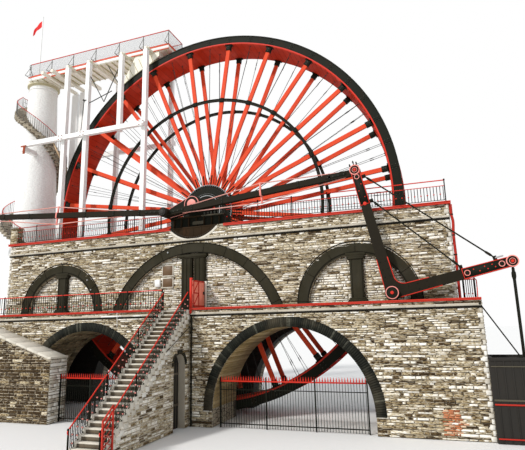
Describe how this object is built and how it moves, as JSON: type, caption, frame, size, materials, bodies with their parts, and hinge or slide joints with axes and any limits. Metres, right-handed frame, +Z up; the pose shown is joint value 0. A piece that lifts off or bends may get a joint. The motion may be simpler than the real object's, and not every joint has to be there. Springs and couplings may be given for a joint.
{
  "type": "pitch-back water wheel with masonry housing, crank, rods, bell crank, feed trough and tower",
  "caption": "Very large pitch-back water wheel in an arched two-tier stone housing, with crank, rods, rocking bell crank, feed trough on posts and a round tower.",
  "frame": {"origin": "on the ground under the wheel axle, midway through the thickness of the front bearing wall", "axes": "+X along the wall to the right as seen from the crank side, +Y from the crank side into the wheel along its axle, +Z up"},
  "size_m": [34.261, 13.36, 28.06],
  "materials": {
    "stone": "matte",
    "black_paint": "satin",
    "red_paint": "satin",
    "orange_wood": "painted",
    "maroon_wood": "painted",
    "black_wood": "painted",
    "white_render": "painted",
    "white_iron": "satin",
    "cream_wood": "painted",
    "slate": "matte"
  },
  "bodies": {
    "structure": {"front_wall": "stone", "rear_wall": "stone", "left_end_wall": "stone", "right_end_wall": "stone", "right_plinth": "stone", "lower_tier": "stone", "lower_arch_rings": "slate", "upper_arch_rings": "slate", "upper_columns": "slate", "deck_edge": "red_paint", "terrace_edge": "red_paint", "string_courses": "stone", "deck_railing": "red_paint", "terrace_railing": "red_paint", "stair_steps": "stone", "stair_railings": "red_paint", "gate_post": "red_paint", "wing_wall": "stone", "pit_fence": "red_paint", "end_ladder": "red_paint", "tower_shaft": "white_render", "tower_cap": "white_render", "tower_stair": "stone", "tower_stair_railing": "black_paint", "flagpole": "white_iron", "trough": "cream_wood", "trough_apron": "cream_wood", "trough_railing": "red_paint", "trough_joists": "white_iron", "support_posts": "white_iron", "support_beams": "white_iron", "support_rods": "black_paint", "front_bearing": "black_paint", "rear_bearing": "black_paint", "bell_pedestals": "black_paint", "balance_box": "black_paint"},
    "wheel": {"wheel_front_shroud": "black_paint", "wheel_rear_shroud": "black_paint", "wheel_sole": "maroon_wood", "wheel_buckets": "maroon_wood", "front_spokes": "orange_wood", "rear_spokes": "orange_wood", "front_mid_ring": "black_paint", "rear_mid_ring": "black_paint", "front_hub": "black_paint", "rear_hub": "black_paint", "wheel_tie_rods": "black_paint", "axle": "red_paint", "crank": "black_paint"},
    "main_rod_body": {"main_rod": "black_wood"},
    "connecting_rod_body": {"connecting_rod": "black_wood"},
    "bell_crank_body": {"bell_crank": "black_paint", "bell_stays": "black_paint"},
    "hanging_rod_body": {"hanging_rod": "black_paint"},
    "gate_body": {"terrace_gate": "red_paint"}
  },
  "joints": [
    {"name": "wheel_turn", "type": "hinge", "parent": "structure", "child": "wheel", "pos_m": [0, 0, 11.2], "axis": [0, 1, 0], "continuous": true},
    {"name": "main_rod_pin", "type": "hinge", "parent": "wheel", "child": "main_rod_body", "pos_m": [-1.4115, 0, 10.75496], "axis": [0, 1, 0], "continuous": true},
    {"name": "connecting_rod_pin", "type": "hinge", "parent": "wheel", "child": "connecting_rod_body", "pos_m": [-1.4115, 0, 10.75496], "axis": [0, 1, 0], "continuous": true},
    {"name": "bell_crank_rock", "type": "hinge", "parent": "structure", "child": "bell_crank_body", "pos_m": [10.36, 0, 5.875], "axis": [0, 1, 0], "range_deg": [-1, 27]},
    {"name": "hanging_rod_pin", "type": "hinge", "parent": "bell_crank_body", "child": "hanging_rod_body", "pos_m": [15.27374, 0, 6.97335], "axis": [0, 1, 0], "range_deg": [-27, 1]},
    {"name": "gate_swing", "type": "hinge", "parent": "structure", "child": "gate_body", "pos_m": [0.69, -2.02, 5.52], "axis": [0, 0, 1], "range_deg": [-90, 0]}
  ],
  "couplings": [
    {"joint": "main_rod_pin", "follows": "wheel_turn", "ratio": -1},
    {"joint": "connecting_rod_pin", "follows": "wheel_turn", "ratio": -1},
    {"joint": "hanging_rod_pin", "follows": "bell_crank_rock", "ratio": -1}
  ]
}
